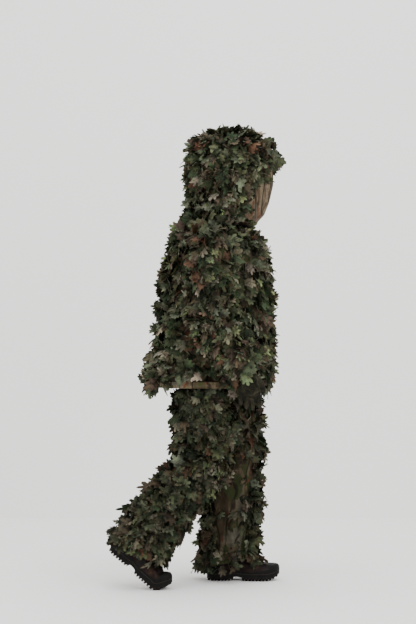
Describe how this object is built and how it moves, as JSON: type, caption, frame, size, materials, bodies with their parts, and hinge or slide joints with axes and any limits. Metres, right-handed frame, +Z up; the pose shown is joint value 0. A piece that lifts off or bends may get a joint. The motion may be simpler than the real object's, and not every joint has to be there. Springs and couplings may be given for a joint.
{
  "type": "ghillie suit",
  "caption": "Full-body hunting concealment suit covered in cut cloth leaves: hooded zip jacket with face veil, trousers, gloves and lace-up boots, held in a walking stance",
  "frame": {"origin": "on the ground, at the middle of the suit's length and width", "axes": "+X forward, the way the wearer walks; +Y to the wearer's left; +Z up"},
  "size_m": [0.6946, 0.6908, 1.847],
  "materials": {
    "camo_cloth": "matte woven camouflage print",
    "leaf_cloth": "matte cut cloth leaves",
    "veil_cloth": "matte printed mesh",
    "webbing": "matte tape and cord",
    "zip_plastic": "satin moulded",
    "glove_cloth": "matte knit",
    "boot_leather": "waxed, worn",
    "boot_rubber": "matte moulded"
  },
  "bodies": {
    "trousers_seat": {"seat_front": "camo_cloth", "seat_back": "camo_cloth", "waistband": "webbing", "crotch_gusset": "camo_cloth", "waist_drawcord": "webbing"},
    "waist_lock": {"waist_cord_lock": "zip_plastic"},
    "jacket": {"jacket_back": "camo_cloth", "jacket_front_left": "camo_cloth", "jacket_front_right": "camo_cloth", "leaf_cover_back": "leaf_cloth", "leaf_cover_front_left": "leaf_cloth", "leaf_cover_front_right": "leaf_cloth", "jacket_hem_band": "webbing", "collar": "camo_cloth", "front_zip": "zip_plastic"},
    "slider": {"zip_slider": "zip_plastic"},
    "pull": {"zip_pull": "webbing"},
    "hood": {"hood_left": "camo_cloth", "hood_right": "camo_cloth", "leaf_cover_hood": "leaf_cloth", "hood_edge_binding": "webbing", "veil_snap_left": "zip_plastic", "veil_snap_right": "zip_plastic"},
    "veil": {"face_veil": "veil_cloth"},
    "upper_arm_left": {"sleeve_upper_left": "camo_cloth", "leaf_cover_sleeve_upper_left": "leaf_cloth"},
    "forearm_left": {"sleeve_lower_left": "camo_cloth", "leaf_cover_sleeve_lower_left": "leaf_cloth", "sleeve_cuff_left": "webbing"},
    "hand_left": {"glove_hand_left": "glove_cloth"},
    "fingers_left": {"glove_fingers_left": "glove_cloth"},
    "thigh_left": {"leg_upper_left": "camo_cloth", "leaf_cover_leg_upper_left": "leaf_cloth"},
    "shank_left": {"leg_lower_left": "camo_cloth", "leaf_cover_leg_lower_left": "leaf_cloth", "leg_cuff_left": "webbing"},
    "boot_left": {"boot_sole_rear_left": "boot_rubber", "boot_upper_left": "boot_leather", "boot_laces_left": "webbing"},
    "toes_left": {"boot_sole_front_left": "boot_rubber", "boot_toe_cap_left": "boot_rubber"},
    "upper_arm_right": {"sleeve_upper_right": "camo_cloth", "leaf_cover_sleeve_upper_right": "leaf_cloth"},
    "forearm_right": {"sleeve_lower_right": "camo_cloth", "leaf_cover_sleeve_lower_right": "leaf_cloth", "sleeve_cuff_right": "webbing"},
    "hand_right": {"glove_hand_right": "glove_cloth"},
    "fingers_right": {"glove_fingers_right": "glove_cloth"},
    "thigh_right": {"leg_upper_right": "camo_cloth", "leaf_cover_leg_upper_right": "leaf_cloth"},
    "shank_right": {"leg_lower_right": "camo_cloth", "leaf_cover_leg_lower_right": "leaf_cloth", "leg_cuff_right": "webbing"},
    "boot_right": {"boot_sole_rear_right": "boot_rubber", "boot_upper_right": "boot_leather", "boot_laces_right": "webbing"},
    "toes_right": {"boot_sole_front_right": "boot_rubber", "boot_toe_cap_right": "boot_rubber"}
  },
  "joints": [
    {"name": "waist_bend", "type": "hinge", "parent": "trousers_seat", "child": "jacket", "pos_m": [0.0523, 0, 0.95], "axis": [0, 1, 0], "range_deg": [-8, 7]},
    {"name": "hood_push_back", "type": "hinge", "parent": "jacket", "child": "hood", "pos_m": [-0.0257, 0, 1.479], "axis": [0, 1, 0], "range_deg": [-60, 0]},
    {"name": "veil_lift", "type": "hinge", "parent": "hood", "child": "veil", "pos_m": [0.3163, 0, 1.69], "axis": [0, 1, 0], "range_deg": [-88, 0]},
    {"name": "zip_slider_travel", "type": "hinge", "parent": "jacket", "child": "slider", "pos_m": [-2.9077, 0, 1.02], "axis": [0, 1, 0], "range_deg": [0, 7.8]},
    {"name": "zip_pull_swing", "type": "hinge", "parent": "slider", "child": "pull", "pos_m": [0.2894, 0, 1.2845], "axis": [0, 1, 0], "range_deg": [-80, 0]},
    {"name": "waist_lock_slide", "type": "slide", "parent": "trousers_seat", "child": "waist_lock", "axis": [0, 0, 1], "range_m": [-0.022, 0.012]},
    {"name": "shoulder_left_swing", "type": "hinge", "parent": "jacket", "child": "upper_arm_left", "pos_m": [0.0723, 0.188, 1.372], "axis": [0, 1, 0], "range_deg": [-80, 25]},
    {"name": "elbow_left_bend", "type": "hinge", "parent": "upper_arm_left", "child": "forearm_left", "pos_m": [0.0329, 0.265, 1.0918], "axis": [0, 1, 0], "range_deg": [-65, 8]},
    {"name": "wrist_left_bend", "type": "hinge", "parent": "forearm_left", "child": "hand_left", "pos_m": [0.0422, 0.265, 0.8269], "axis": [1, 0, 0], "range_deg": [-8, 15]},
    {"name": "fingers_left_curl", "type": "hinge", "parent": "hand_left", "child": "fingers_left", "pos_m": [0.0422, 0.265, 0.7369], "axis": [0.9945, 0, -0.1045], "range_deg": [-30, 0]},
    {"name": "hip_left_swing", "type": "hinge", "parent": "trousers_seat", "child": "thigh_left", "pos_m": [0.0873, 0.1, 0.94], "axis": [0, 1, 0], "range_deg": [-9, 25]},
    {"name": "knee_left_bend", "type": "hinge", "parent": "thigh_left", "child": "shank_left", "pos_m": [0.1729, 0.1, 0.5099], "axis": [0, 1, 0], "range_deg": [-7, 50]},
    {"name": "ankle_left_bend", "type": "hinge", "parent": "shank_left", "child": "boot_left", "pos_m": [0.1273, 0.1, 0.104], "axis": [0, 1, 0], "range_deg": [-8, 12]},
    {"name": "toes_left_bend", "type": "hinge", "parent": "boot_left", "child": "toes_left", "pos_m": [0.2893, 0.1, 0.02], "axis": [0, 1, 0], "range_deg": [-40, 0]},
    {"name": "shoulder_right_swing", "type": "hinge", "parent": "jacket", "child": "upper_arm_right", "pos_m": [0.0723, -0.188, 1.372], "axis": [0, 1, 0], "range_deg": [-70, 35]},
    {"name": "elbow_right_bend", "type": "hinge", "parent": "upper_arm_right", "child": "forearm_right", "pos_m": [0.0476, -0.265, 1.0901], "axis": [0, 1, 0], "range_deg": [-44, 24]},
    {"name": "wrist_right_bend", "type": "hinge", "parent": "forearm_right", "child": "hand_right", "pos_m": [0.2034, -0.265, 0.8757], "axis": [0.9903, 0, 0.1392], "range_deg": [-9, 8]},
    {"name": "fingers_right_curl", "type": "hinge", "parent": "hand_right", "child": "fingers_right", "pos_m": [0.2159, -0.265, 0.7866], "axis": [1, 0, 0], "range_deg": [0, 30]},
    {"name": "hip_right_swing", "type": "hinge", "parent": "trousers_seat", "child": "thigh_right", "pos_m": [0.0573, -0.1, 0.94], "axis": [0, 1, 0], "range_deg": [-24, 11]},
    {"name": "knee_right_bend", "type": "hinge", "parent": "thigh_right", "child": "shank_right", "pos_m": [0.0331, -0.1, 0.5022], "axis": [0, 1, 0], "range_deg": [-28, 25]},
    {"name": "ankle_right_bend", "type": "hinge", "parent": "shank_right", "child": "boot_right", "pos_m": [-0.2238, -0.1, 0.1846], "axis": [0.2588, 0.9659, 0], "range_deg": [-12, 5]},
    {"name": "toes_right_bend", "type": "hinge", "parent": "boot_right", "child": "toes_right", "pos_m": [-0.1477, -0.1204, 0.02], "axis": [0.2588, 0.9659, 0], "range_deg": [-5, 35]}
  ]
}
